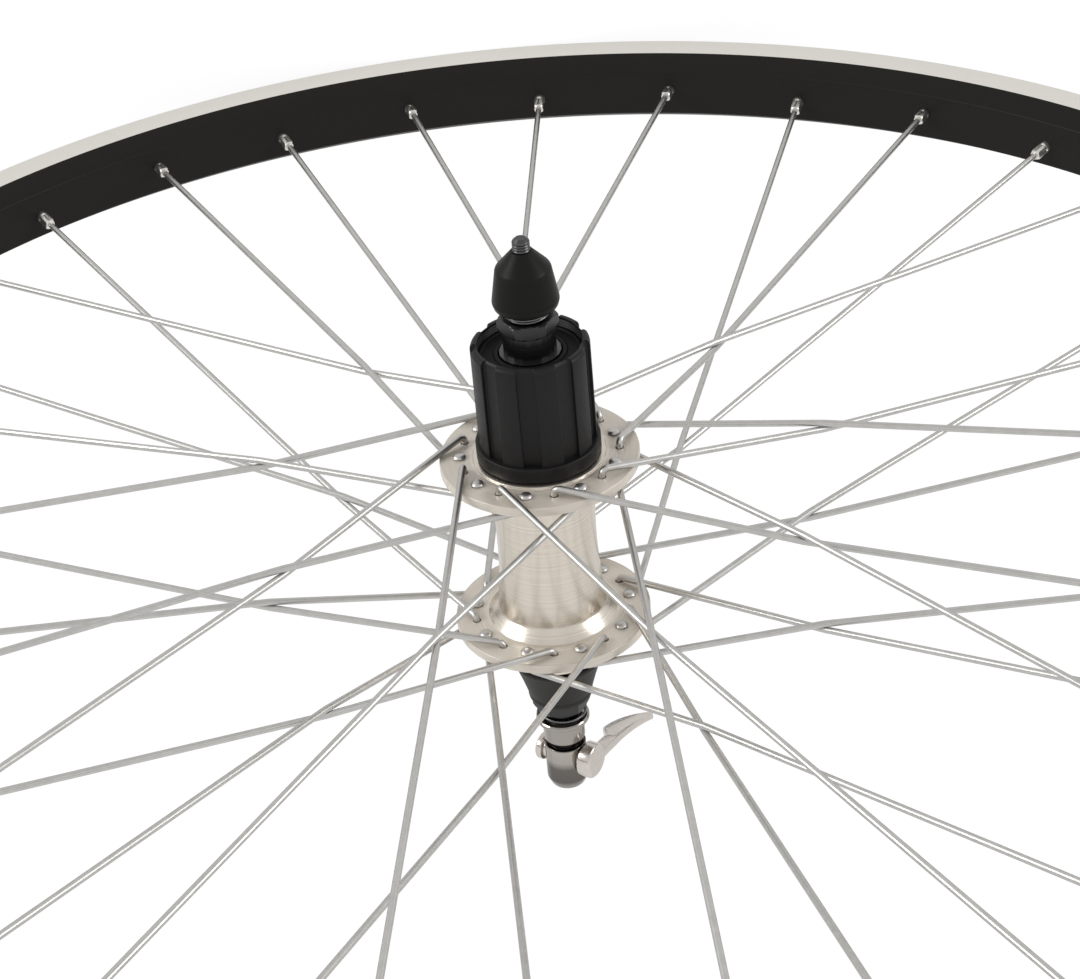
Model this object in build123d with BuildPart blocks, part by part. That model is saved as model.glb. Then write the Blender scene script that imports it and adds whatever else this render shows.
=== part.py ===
from build123d import *
import os
from math import atan2, cos, degrees, radians, sin, sqrt, tan

os.makedirs("parts", exist_ok=True)

# Rear bicycle wheel for rim brakes, without tyre or cassette, held by a quick release.
# The origin is the wheel's centre: on the axle's axis, in the rim's middle plane.
# X points forward, Z up, and the drive side, with the splined freehub, faces -Y.
# A "side" is a distance from the rim's middle plane along the axle, positive towards the drive side.

# Turned pieces have flats: many where they are seen, few inside the hub. Each hinge keeps a round face.
hub_flat_count = 30
inner_flat_count = 18
bore_flat_count = 12

# Rim: a double-wall extrusion, with a flat brake track on each side.
bead_seat_diameter = 559.0
rim_flange_height = 6.0
rim_width = 24.6
rim_depth = 17.2
brake_track_height = 9.9
brake_wall = 1.9
rim_wall = 1.6
spoke_bed_width = 16.0
valve_hole_diameter = 8.5
valve_angle = 90.0

# Lacing: every second spoke goes to the same flange, and each one crosses others of its flange.
spoke_count = 36
crossing_count = 3
spoke_diameter = 2.0
spoke_side_count = 6
spoke_bend_radius = 1.6
spoke_head_diameter = 3.8
spoke_head_height = 1.2
spoke_head_taper = 25.0
spoke_rim_stagger = 1.0
spoke_gap = 0.12
elbow_gap = 0.3
flange_hole_gap = 0.15

# Nipples: brass, with square drive flats, a head inside the rim and an access hole behind each.
nipple_wall = 0.6
nipple_reach = 6.2
nipple_hole_gap = 0.5
nipple_ledge = 0.4
nipple_head_height = 1.8
nipple_seat_gap = 0.6
access_gap = 0.26
thread_engagement = 8.6
thread_gap = 0.02

# Axle, with a cone, a spacer and a locknut on each end.
over_locknuts = 135.0
axle_diameter = 10.0
axle_stub = 2.5
axle_bore_gap = 0.3
locknut_thickness = 4.3
locknut_wall = 2.5
spacer_thickness = 3.2
spacer_wall = 2.5
cone_body_wall = 2.4
cone_nose_wall = 1.0
cone_shoulder_inset = 0.9
cone_shoulder_width = 2.6

# Bearings: quarter-inch balls on races at 45 degrees.
ball_diameter = 6.35
ball_count = 9
ball_spacing = 0.15
ball_flat_allowance = 0.22
race_gap = 0.03
race_lip = 1.0
race_shoulder = 0.22
cup_wall = 0.7
press_gap = 0.01

# Hub shell: two flanges on a waisted barrel.
shell_bore_step = 0.5
barrel_wall = 3.4
barrel_rise = 1.3
flare_height = 3.3
flare_width = 3.6
flange_thickness = 2.8
flange_hole_inset = 3.75
flange_margin = 5.75
collar_wall = 1.2
collar_length = 4.3
drive_boss_height = 0.6
bolt_web_length = 10.6

# Non-drive end: dust cap and rubber boot.
left_ball_inset = 2.8
dust_cap_wall = 1.0
dust_cap_height = 5.0
dust_cap_seat = 0.5
dust_cap_lip_gap = 0.7
boot_length = 14.8
boot_gap = 0.4
boot_wall = 1.4
boot_tip_wall = 2.1
boot_overhang = 0.9

# Freehub: a core bolted to the hub shell, and a splined shell that turns on it.
freehub_inset = 8.5
freehub_length = 36.0
freehub_gap = 0.05
freehub_base_gap = 0.4
freehub_base_step = 1.0
freehub_base_width = 4.6
core_wall = 0.7
core_inset = 0.6
core_bolt_hole_length = 4.4
right_ball_inset = 4.0
recess_step = 1.1
lockring_depth = 4.4
spline_wall = 2.1
spline_depth = 1.35
spline_count = 9
spline_groove_width = 5.2
spline_index_width = 3.4
end_cap_gap = 0.4
end_cap_thickness = 1.4
bolt_axle_gap = 0.8
bolt_wall = 2.2
bolt_head_step = 1.8
bolt_head_gap = 0.4
bolt_head_height = 4.0

# Quick release: rod, nut, springs, head and lever.
rod_diameter = 5.0
rod_tip_reach = 3.8
rod_tip_chamfer = 1.0
rod_gap = 0.05
nut_stand_off = 3.1
nut_face_diameter = 17.8
nut_diameter = 18.9
nut_flare_length = 1.8
nut_shoulder_diameter = 15.6
nut_taper_length = 10.1
nut_nose_diameter = 6.0
nut_nose_length = 5.3
spring_wire = 0.8
spring_axle_gap = 0.1
spring_coil_gap = 0.05
spring_turn_count = 2
spring_step_count = 10
spring_gap = 0.15
head_stand_off = 3.7
head_face_diameter = 16.0
head_face_width = 1.8
head_diameter = 12.5
head_neck_length = 6.4
head_groove_depth = 1.3
head_groove_width = 2.2
head_groove_wall = 1.6
head_end_length = 7.4
head_end_diameter = 10.0
head_end_taper = 3.0
cam_diameter = 6.4
cam_gap = 0.05
lever_angle = 234.0
lever_reach = 36.0
lever_sweep = 8.4
lever_thickness = 4.2
lever_tip_thickness = 2.4
lever_boss_diameter = 11.0
lever_boss_width = 4.4
lever_blade_width = 7.4
lever_belly = 1.0
lever_tip_radius = 1.3
lever_tip_inset = 2.0
lever_neck_slope = 3.0
lever_gap = 0.3
cam_cap_diameter = 8.4
cam_cap_width = 2.6

# Rim and lacing
rim_radius = bead_seat_diameter / 2 + rim_flange_height
bed_radius = rim_radius - rim_depth
half_rim = rim_width / 2
hole_pitch = 360 / spoke_count
flange_pitch = 2 * hole_pitch
lacing_angle = crossing_count * flange_pitch
spoke_radius = spoke_diameter / 2
nipple_flats = spoke_diameter + 2 * nipple_wall
nipple_hole_width = nipple_flats + 2 * nipple_hole_gap
nipple_head_flats = nipple_hole_width + 2 * nipple_ledge
access_hole_width = nipple_head_flats + 2 * access_gap

# Sizes across the axle, each from the piece that it fits
axle_fit = axle_diameter / 2 + thread_gap
axle_bore = rod_diameter + 2 * axle_bore_gap
spacer_diameter = axle_diameter + 2 * spacer_wall
locknut_flats = axle_diameter + 2 * locknut_wall
cone_body_diameter = axle_diameter + 2 * cone_body_wall
cone_nose_diameter = axle_diameter + 2 * cone_nose_wall
ball_circle_diameter = (ball_diameter + ball_spacing) / sin(radians(180 / ball_count))
cone_shoulder_diameter = ball_circle_diameter - 2 * cone_shoulder_inset
race_lip_diameter = ball_circle_diameter + 2 * race_lip
race_outer_diameter = ball_circle_diameter + ball_diameter + 2 * race_shoulder
cup_diameter = race_outer_diameter + 2 * cup_wall
shell_bore_diameter = race_lip_diameter + 2 * shell_bore_step
barrel_waist_diameter = shell_bore_diameter + 2 * barrel_wall
barrel_end_diameter = barrel_waist_diameter + 2 * barrel_rise
flange_root_diameter = barrel_end_diameter + 2 * flare_height
flange_hole_circle = flange_root_diameter + 2 * flange_hole_inset
flange_diameter = flange_hole_circle + 2 * flange_margin
flange_hole_width = spoke_diameter + 2 * flange_hole_gap
shell_collar_diameter = cup_diameter + 2 * collar_wall
dust_cap_diameter = race_outer_diameter - 2 * press_gap
dust_cap_lip_diameter = cone_shoulder_diameter + 2 * dust_cap_lip_gap
boot_mouth_diameter = dust_cap_diameter + 2 * boot_overhang
boot_tip_diameter = spacer_diameter + 2 * boot_tip_wall
bolt_bore = axle_diameter + 2 * bolt_axle_gap
bolt_diameter = bolt_bore + 2 * bolt_wall
bolt_head_diameter = bolt_diameter + 2 * bolt_head_step
core_bore_diameter = bolt_head_diameter + 2 * bolt_head_gap
core_diameter = race_outer_diameter + 2 * core_wall
lockring_bore = core_diameter + 2 * recess_step
spline_diameter = lockring_bore + 2 * spline_wall
freehub_base_diameter = spline_diameter + 2 * freehub_base_step
end_cap_inner_diameter = cone_shoulder_diameter + 2 * end_cap_gap

# Places along the axle, from the locknuts inwards
half_flange = flange_thickness / 2
half_over = over_locknuts / 2
locknut_side = half_over - locknut_thickness
cone_end_side = locknut_side - spacer_thickness
freehub_end = half_over - freehub_inset
freehub_start = freehub_end - freehub_length
shell_drive_end = freehub_start - freehub_base_gap
drive_flange_side = shell_drive_end - drive_boss_height - half_flange
recess_side = freehub_end - lockring_depth
core_end = recess_side - core_inset
right_ball_side = core_end - right_ball_inset
boot_mouth_side = boot_length - locknut_side
dust_cap_end = boot_mouth_side + boot_gap
shell_left_end = dust_cap_end + dust_cap_height
left_ball_side = shell_left_end + left_ball_inset
left_flange_side = shell_left_end + collar_length + flare_width + half_flange

# Places of the quick release, from the locknuts outwards
nut_face = half_over + nut_stand_off
nut_widest_side = nut_face + nut_flare_length
nut_shoulder_side = nut_widest_side + nut_taper_length
nut_nose_side = nut_shoulder_side + nut_nose_length
rod_tip = nut_nose_side + rod_tip_reach
head_face = -half_over - head_stand_off
head_floor = head_face - head_face_width
head_groove_side = head_floor - head_neck_length
head_groove_end = head_groove_side - head_groove_width
cam_side = head_groove_end - head_groove_wall - cam_diameter / 2
head_end = cam_side - cam_diameter / 2 - head_end_length

# The half plane that turned pieces are drawn in: a point is (radius, side).
half_section = Plane(origin=(0, 0, 0), x_dir=(1, 0, 0), z_dir=(0, 0, -1))
# The wheel seen from the drive side: X to the right, Z up, local z towards the drive side.
wheel_plane = Plane(origin=(0, 0, 0), x_dir=(1, 0, 0), z_dir=(0, -1, 0))


def section(*corners):
    """A closed section of straight edges, from its (radius, side) corners."""
    with BuildSketch(half_section) as drawn:
        with BuildLine():
            Polyline(*corners, close=True)
        make_face()
    return drawn.sketch


def ring(sides):
    """A closed path of flats round the axle, so that a section swept along it is turned with that many flats."""
    step = 360 / sides
    with BuildLine(wheel_plane) as path:
        Polyline(
            (rim_radius * cos(radians(step / 2)), 0),
            *[
                (rim_radius * cos(radians(step * (k + 0.5))), rim_radius * sin(radians(step * (k + 0.5))))
                for k in range(sides)
            ],
            close=True,
        )
    return path.line


def place(radius, angle, side):
    """The point at a radius and an angle, seen from the drive side, and at a side."""
    turn = radians(angle)
    return Vector(radius * cos(turn), -side, radius * sin(turn))


rim_ring = ring(2 * spoke_count)
hub_ring = ring(hub_flat_count)
inner_ring = ring(inner_flat_count)


def write(piece, label):
    """Label a finished piece and write it to a file of that name."""
    piece.part.label = label
    export_step(piece.part, f"parts/{label}.step")


# Hollow axle, threaded for the cones and locknuts, that the skewer runs through.
with BuildPart() as axle:
    revolve(
        section(
            (axle_bore / 2, -half_over - axle_stub),
            (axle_diameter / 2, -half_over - axle_stub),
            (axle_diameter / 2, half_over + axle_stub),
            (axle_bore / 2, half_over + axle_stub),
        ),
        axis=Axis.Y,
    )
write(axle, "axle")


def ball_race(ball_side, outward, radius, inner):
    """The side where a 45-degree race, inside or outside the balls, passes a radius."""
    contact = (ball_diameter / 2 + race_gap) * sqrt(2)
    reach = radius - ball_circle_diameter / 2 + (contact if inner else -contact)
    return ball_side + outward * reach


# Each end of the axle carries a hardened cone that the balls run on.
for end, outward, ball_side in (("left", -1, left_ball_side), ("right", 1, right_ball_side)):
    nose_side = ball_race(ball_side, outward, cone_nose_diameter / 2, True)
    shoulder_side = ball_race(ball_side, outward, cone_shoulder_diameter / 2, True)
    with BuildPart() as cone:
        sweep(
            section(
                (axle_fit, nose_side),
                (cone_nose_diameter / 2, nose_side),
                (cone_shoulder_diameter / 2, shoulder_side),
                (cone_shoulder_diameter / 2, shoulder_side + outward * cone_shoulder_width),
                (cone_body_diameter / 2, shoulder_side + outward * cone_shoulder_width),
                (cone_body_diameter / 2, outward * cone_end_side),
                (axle_fit, outward * cone_end_side),
            ),
            path=inner_ring,
            transition=Transition.RIGHT,
        )
    write(cone, f"{end}_cone")

# Two spacers, one against each cone, and the two hexagonal locknuts that hold them.
with BuildPart() as spacers:
    for outward in (-1, 1):
        sweep(
            section(
                (axle_fit, outward * cone_end_side),
                (spacer_diameter / 2, outward * cone_end_side),
                (spacer_diameter / 2, outward * locknut_side),
                (axle_fit, outward * locknut_side),
            ),
            path=hub_ring,
            transition=Transition.RIGHT,
        )
write(spacers, "spacers")

with BuildPart() as locknuts:
    for outward in (-1, 1):
        with BuildSketch(wheel_plane.offset(outward * locknut_side)):
            RegularPolygon(locknut_flats / 2, 6, major_radius=False)
            RegularPolygon(axle_fit, bore_flat_count, major_radius=False, mode=Mode.SUBTRACT)
        extrude(amount=outward * locknut_thickness)
write(locknuts, "locknuts")

# Bearing balls, one set of solids on each side, drawn with flat faces because they are out of sight.
ball_flats = ball_diameter - 2 * ball_flat_allowance
with BuildPart() as ball:
    Box(ball_flats, ball_flats, ball_flats)
    chamfer(ball.edges(), length=ball_flats * (1 - 1 / sqrt(2)))
for end, ball_side in (("left", left_ball_side), ("right", right_ball_side)):
    with BuildPart() as balls:
        with Locations(wheel_plane.offset(ball_side)):
            with PolarLocations(ball_circle_diameter / 2, ball_count):
                add(ball.part)
    write(balls, f"{end}_bearing_balls")

# Rubber boot over the left cone, seated on the left spacer.
with BuildPart() as boot:
    sweep(
        section(
            (boot_mouth_diameter / 2, boot_mouth_side),
            (boot_tip_diameter / 2, -locknut_side),
            (spacer_diameter / 2 + thread_gap, -locknut_side),
            (spacer_diameter / 2 + thread_gap, -cone_end_side),
            (boot_mouth_diameter / 2 - boot_wall, boot_mouth_side),
        ),
        path=hub_ring,
        transition=Transition.RIGHT,
    )
write(boot, "rubber_boot")

# Hub shell, turned from one bar: flanges, barrel, bearing seat on the left, bolt thread on the drive side.
flange_radius = flange_diameter / 2
drive_root = drive_flange_side - half_flange
left_root = left_flange_side + half_flange
cup_inner_end = ball_race(left_ball_side, -1, race_lip_diameter / 2, False)
barrel_half = (drive_root - left_root) / 2 - flare_width
barrel_middle = (drive_root + left_root) / 2
barrel = [
    (barrel_waist_diameter / 2 + barrel_rise * share**2, barrel_middle + barrel_half * share)
    for share in (1, 0.5, 0, -0.5, -1)
]
with BuildPart() as hub_shell:
    sweep(
        section(
            *barrel,
            (flange_root_diameter / 2, left_root),
            (flange_radius, left_root),
            (flange_radius, left_root - flange_thickness),
            (flange_root_diameter / 2, left_root - flange_thickness),
            (shell_collar_diameter / 2, left_root - flange_thickness - flare_width),
            (shell_collar_diameter / 2, shell_left_end),
            (cup_diameter / 2 + press_gap, shell_left_end),
            (cup_diameter / 2 + press_gap, cup_inner_end),
            (shell_bore_diameter / 2, cup_inner_end),
            (shell_bore_diameter / 2, shell_drive_end - bolt_web_length),
            (bolt_diameter / 2 + thread_gap, shell_drive_end - bolt_web_length),
            (bolt_diameter / 2 + thread_gap, shell_drive_end),
            (flange_root_diameter / 2, shell_drive_end),
            (flange_root_diameter / 2, drive_root + flange_thickness),
            (flange_radius, drive_root + flange_thickness),
            (flange_radius, drive_root),
            (flange_root_diameter / 2, drive_root),
        ),
        path=hub_ring,
        transition=Transition.RIGHT,
    )
    for flange_side, first_hole in (
        (drive_flange_side, valve_angle + hole_pitch / 2 + lacing_angle),
        (left_flange_side, valve_angle + hole_pitch / 2 + hole_pitch + lacing_angle),
    ):
        with BuildSketch(wheel_plane.offset(flange_side - flange_thickness)):
            with PolarLocations(flange_hole_circle / 2, spoke_count // 2, start_angle=first_hole):
                Rectangle(flange_hole_width, flange_hole_width)
        extrude(amount=2 * flange_thickness, mode=Mode.SUBTRACT)
write(hub_shell, "hub_shell")

# Left bearing cup, pressed into the hub shell, with a race on its inner side.
with BuildPart() as left_cup:
    sweep(
        section(
            (cup_diameter / 2, cup_inner_end),
            (cup_diameter / 2, shell_left_end),
            (race_outer_diameter / 2, shell_left_end),
            (
                race_outer_diameter / 2,
                ball_race(left_ball_side, -1, race_outer_diameter / 2, False),
            ),
            (race_lip_diameter / 2, cup_inner_end),
        ),
        path=hub_ring,
        transition=Transition.RIGHT,
    )
write(left_cup, "left_bearing_cup")

# Left dust cap, a thin turned cover pressed into the mouth of the bearing cup.
cap_seat_side = shell_left_end + dust_cap_seat
with BuildPart() as dust_cap:
    sweep(
        section(
            (dust_cap_diameter / 2, cap_seat_side),
            (dust_cap_diameter / 2, dust_cap_end),
            (dust_cap_lip_diameter / 2, dust_cap_end),
            (dust_cap_lip_diameter / 2, dust_cap_end + dust_cap_wall),
            (dust_cap_diameter / 2 - dust_cap_wall, dust_cap_end + dust_cap_wall),
            (dust_cap_diameter / 2 - dust_cap_wall, cap_seat_side),
        ),
        path=hub_ring,
        transition=Transition.RIGHT,
    )
write(dust_cap, "left_dust_cap")

# Freehub core, bolted to the hub shell: the right-hand balls run in its outer end.
# The corners of its flats lie on the circle that the freehub shell turns on.
bolt_seat_side = shell_drive_end + core_bolt_hole_length
core_race_side = ball_race(right_ball_side, 1, core_bore_diameter / 2, False)
core_flat_radius = core_diameter / 2 * cos(radians(180 / hub_flat_count))
with BuildPart() as freehub_core:
    sweep(
        section(
            (bolt_diameter / 2 + thread_gap, shell_drive_end),
            (core_flat_radius, shell_drive_end),
            (core_flat_radius, core_end),
            (race_outer_diameter / 2, core_end),
            (
                race_outer_diameter / 2,
                ball_race(right_ball_side, 1, race_outer_diameter / 2, False),
            ),
            (core_bore_diameter / 2, core_race_side),
            (core_bore_diameter / 2, bolt_seat_side),
            (bolt_diameter / 2 + thread_gap, bolt_seat_side),
        ),
        path=hub_ring,
        transition=Transition.RIGHT,
    )
write(freehub_core, "freehub_core")

# Hollow bolt that clamps the core to the hub shell, and lets the axle pass.
with BuildPart() as fixing_bolt:
    sweep(
        section(
            (bolt_bore / 2, shell_drive_end - bolt_web_length),
            (bolt_diameter / 2, shell_drive_end - bolt_web_length),
            (bolt_diameter / 2, bolt_seat_side),
            (bolt_head_diameter / 2, bolt_seat_side),
            (bolt_head_diameter / 2, bolt_seat_side + bolt_head_height),
            (bolt_bore / 2, bolt_seat_side + bolt_head_height),
        ),
        path=hub_ring,
        transition=Transition.RIGHT,
    )
write(fixing_bolt, "freehub_bolt")

# Freehub shell: nine grooves for the cassette, one of them narrow, and a thread for its lockring.
base_end = freehub_start + freehub_base_width
freehub_bore_radius = core_diameter / 2 + freehub_gap
with BuildPart() as freehub_shell:
    sweep(
        section(
            (bolt_head_diameter / 2, freehub_start),
            (freehub_base_diameter / 2, freehub_start),
            (freehub_base_diameter / 2, base_end),
            (spline_diameter / 2, base_end),
            (spline_diameter / 2, freehub_end),
            (lockring_bore / 2, freehub_end),
            (lockring_bore / 2, recess_side),
            (bolt_head_diameter / 2, recess_side),
        ),
        path=hub_ring,
        transition=Transition.RIGHT,
    )
    with BuildSketch(wheel_plane.offset(freehub_start)):
        Circle(freehub_bore_radius)
    extrude(amount=freehub_length, mode=Mode.SUBTRACT)
    with BuildSketch(wheel_plane.offset(base_end)):
        with PolarLocations(spline_diameter / 2, spline_count):
            Rectangle(2 * spline_depth, spline_index_width)
        with PolarLocations(spline_diameter / 2, spline_count - 1, 360 / spline_count, 360 - 720 / spline_count):
            Rectangle(2 * spline_depth, spline_groove_width)
    extrude(amount=freehub_end - base_end, mode=Mode.SUBTRACT)
write(freehub_shell, "freehub_shell")

# Dust cap pressed into the bottom of the lockring recess.
end_cap_radius = lockring_bore / 2 - press_gap
with BuildPart() as end_cap:
    sweep(
        section(
            (end_cap_inner_diameter / 2, recess_side),
            (end_cap_radius, recess_side),
            (end_cap_radius, recess_side + end_cap_thickness),
            (end_cap_inner_diameter / 2, recess_side + end_cap_thickness),
        ),
        path=hub_ring,
        transition=Transition.RIGHT,
    )
write(end_cap, "freehub_dust_cap")


def lace(rim_angle, flange_side, heads_out):
    """The bends of one spoke's centre line, from its head to its end inside the nipple.

    Spokes with their heads outside leave the inner face of the flange, turn one way round the hub, and
    pass outside the last spoke that they cross. The others leave the outer face and do the reverse.
    """
    outside = 1 if flange_side > 0 else -1
    turn = 1 if heads_out else -1
    hub_angle = rim_angle + turn * lacing_angle
    hub_radius = flange_hole_circle / 2
    rim_side = outside * spoke_rim_stagger
    foot = place(bed_radius, rim_angle, rim_side)
    hole = place(hub_radius, hub_angle, flange_side)

    # In plan, the last crossing lies half a flange pitch round from the rim hole.
    across = tan(radians(hole_pitch))
    run = radians(lacing_angle)
    share = bed_radius * across
    share /= hub_radius * sin(run) + across * (bed_radius - hub_radius * cos(run))
    crossing = foot + (hole - foot) * share
    weave = turn * outside * (spoke_radius + spoke_gap / 2)
    crossing_side = rim_side + (flange_side - rim_side) * share + weave
    crossing = Vector(crossing.X, -crossing_side, crossing.Z)

    # The bend stands off its face of the flange, and an outer spoke also clears the flange's edge.
    face = -turn * outside
    cut = spoke_bend_radius * (1 - tan(radians(22.5)))
    inner_mitre = cut + spoke_radius * tan(radians(22.5))
    stand_off = half_flange + max(spoke_radius + elbow_gap, inner_mitre)
    plan = Vector(crossing.X - hole.X, 0, crossing.Z - hole.Z)
    radial = (hole.X * plan.X + hole.Z * plan.Z) / plan.length
    edge_run = -radial + sqrt(radial**2 + flange_radius**2 - hub_radius**2)
    edge_share = edge_run / plan.length
    bend_side = flange_side + face * stand_off
    edge_side = bend_side + (crossing_side - bend_side) * edge_share
    lack = half_flange + spoke_radius + spoke_gap - face * (edge_side - flange_side)
    if lack > 0:
        bend_side += face * lack / (1 - edge_share)

    bend = Vector(hole.X, -bend_side, hole.Z)
    along = (crossing - bend).normalized()
    inward = Vector(0, face, 0)
    seat = Vector(hole.X, -(flange_side - face * half_flange), hole.Z)
    end = foot + (foot - crossing).normalized() * (thread_engagement - nipple_reach)
    return [seat, bend + inward * cut, bend + along * cut, crossing, end], foot, (foot - crossing).normalized()


# The four sets of spokes, in the order that they stand round the rim from the valve hole.
spoke_sets = (
    ("drive_inner", drive_flange_side, True),
    ("left_inner", left_flange_side, True),
    ("drive_outer", drive_flange_side, False),
    ("left_outer", left_flange_side, False),
)
nipple_planes = []
for number in range(spoke_count):
    set_name, flange_side, heads_out = spoke_sets[number % 4]
    rim_angle = valve_angle + hole_pitch / 2 + number * hole_pitch
    bends, foot, outward = lace(rim_angle, flange_side, heads_out)
    nipple_planes.append(Plane(origin=foot, x_dir=(0, 1, 0), z_dir=outward))
    shank = bends[1] - bends[0]
    head_plane = Plane(origin=bends[0], x_dir=(1, 0, 0), z_dir=shank)
    with BuildPart() as spoke:
        with BuildLine() as route:
            Polyline(*bends)
        with BuildSketch(head_plane):
            RegularPolygon(spoke_radius, spoke_side_count)
        sweep(path=route.line, transition=Transition.RIGHT)
        with BuildSketch(head_plane):
            RegularPolygon(spoke_head_diameter / 2, spoke_side_count)
        extrude(amount=-spoke_head_height, taper=spoke_head_taper)
    write(spoke, f"{set_name}_spoke_{number // 4 + 1}")

# Nipples, one solid for each spoke: square flats outside the rim, a wider head inside it.
nipple_head_start = rim_wall + nipple_seat_gap
nipple_head_end = nipple_head_start + nipple_head_height
with BuildPart() as nipples:
    with BuildSketch(*[plane.offset(-nipple_reach) for plane in nipple_planes]):
        Rectangle(nipple_flats, nipple_flats)
    extrude(amount=nipple_reach + nipple_head_end)
    with BuildSketch(*[plane.offset(nipple_head_start) for plane in nipple_planes]):
        Rectangle(nipple_head_flats, nipple_head_flats)
    extrude(amount=nipple_head_height)
    with BuildSketch(*[plane.offset(-nipple_reach) for plane in nipple_planes]):
        Rectangle(spoke_diameter + 2 * thread_gap, spoke_diameter + 2 * thread_gap)
    extrude(amount=thread_engagement + thread_gap, mode=Mode.SUBTRACT)
write(nipples, "nipples")

# Rim: the outer section less the hollow between its walls, then drilled for spokes and valve.
bead_radius = rim_radius - rim_flange_height
track_inner_radius = rim_radius - brake_track_height
flange_inner_side = half_rim - brake_wall
hollow_outer_radius = bead_radius - rim_wall
hollow_inner_radius = bed_radius + rim_wall
half_bed = spoke_bed_width / 2
hollow_inner_side = half_bed - rim_wall / 2
with BuildPart() as rim:
    sweep(
        section(
            (bed_radius, -half_bed),
            (bed_radius, half_bed),
            (track_inner_radius, half_rim),
            (rim_radius, half_rim),
            (rim_radius, flange_inner_side),
            (bead_radius, flange_inner_side),
            (bead_radius, -flange_inner_side),
            (rim_radius, -flange_inner_side),
            (rim_radius, -half_rim),
            (track_inner_radius, -half_rim),
        ),
        path=rim_ring,
        transition=Transition.RIGHT,
    )
    sweep(
        section(
            (hollow_inner_radius, -hollow_inner_side),
            (hollow_outer_radius, -flange_inner_side),
            (hollow_outer_radius, flange_inner_side),
            (hollow_inner_radius, hollow_inner_side),
        ),
        path=rim_ring,
        transition=Transition.RIGHT,
        mode=Mode.SUBTRACT,
    )
    with BuildSketch(*[plane.offset(-rim_depth) for plane in nipple_planes]):
        Rectangle(nipple_hole_width, nipple_hole_width)
    extrude(amount=rim_depth + nipple_head_end, mode=Mode.SUBTRACT)
    with BuildSketch(*[plane.offset(nipple_head_end) for plane in nipple_planes]):
        Rectangle(access_hole_width, access_hole_width)
    extrude(amount=rim_depth, mode=Mode.SUBTRACT)
    with BuildSketch(Plane(origin=place(bed_radius - rim_depth, valve_angle, 0), z_dir=place(1, valve_angle, 0))):
        Circle(valve_hole_diameter / 2)
    extrude(amount=3 * rim_depth, mode=Mode.SUBTRACT)
write(rim, "rim")

# Skewer rod, from the cam in the head, through the axle, to its threaded tip in the nut.
cam_top_side = cam_side + cam_diameter / 2 + cam_gap
with BuildPart() as skewer_rod:
    revolve(
        section(
            (0, cam_top_side + rod_gap),
            (rod_diameter / 2, cam_top_side + rod_gap),
            (rod_diameter / 2, rod_tip - rod_tip_chamfer),
            (rod_diameter / 2 - rod_tip_chamfer, rod_tip),
            (0, rod_tip),
        ),
        axis=Axis.Y,
    )
write(skewer_rod, "skewer_rod")

# Quick-release nut, turned to a bullet shape.
with BuildPart() as skewer_nut:
    sweep(
        section(
            (rod_diameter / 2 + rod_gap, nut_face),
            (nut_face_diameter / 2, nut_face),
            (nut_diameter / 2, nut_widest_side),
            (nut_shoulder_diameter / 2, nut_shoulder_side),
            (nut_nose_diameter / 2, nut_nose_side),
            (rod_diameter / 2 + rod_gap, nut_nose_side),
        ),
        path=hub_ring,
        transition=Transition.RIGHT,
    )
write(skewer_nut, "skewer_nut")

# Head of the quick release: a turned housing with a cross bore for the cam.
pivot_direction = place(1, lever_angle - 90, 0)
arm_direction = place(1, lever_angle, 0)
cam_centre = Vector(0, -cam_side, 0)
cam_plane = Plane(origin=cam_centre, x_dir=arm_direction, z_dir=pivot_direction)
head_radius = head_diameter / 2
taper_start = head_end + head_end_taper
end_slope = degrees(atan2((head_diameter - head_end_diameter) / 2, head_end_taper))
with BuildPart() as skewer_head:
    for start, end, diameter in (
        (head_face, head_floor, head_face_diameter),
        (head_floor, head_groove_side, head_diameter),
        (head_groove_side, head_groove_end, head_diameter - 2 * head_groove_depth),
        (head_groove_end, taper_start, head_diameter),
    ):
        with BuildSketch(wheel_plane.offset(start)):
            RegularPolygon(diameter / 2, inner_flat_count, major_radius=False)
        extrude(amount=end - start)
    with BuildSketch(wheel_plane.offset(taper_start)):
        RegularPolygon(head_diameter / 2, inner_flat_count, major_radius=False)
    extrude(amount=-head_end_taper, taper=end_slope)
    with BuildSketch(wheel_plane.offset(head_face)):
        RegularPolygon(rod_diameter / 2 + rod_gap, bore_flat_count, major_radius=False)
    extrude(amount=cam_side - head_face, mode=Mode.SUBTRACT)
    with BuildSketch(cam_plane.offset(-head_diameter)):
        RegularPolygon(cam_diameter / 2 + cam_gap, bore_flat_count, major_radius=False)
    extrude(amount=2 * head_diameter, mode=Mode.SUBTRACT)
write(skewer_head, "skewer_head")

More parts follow.
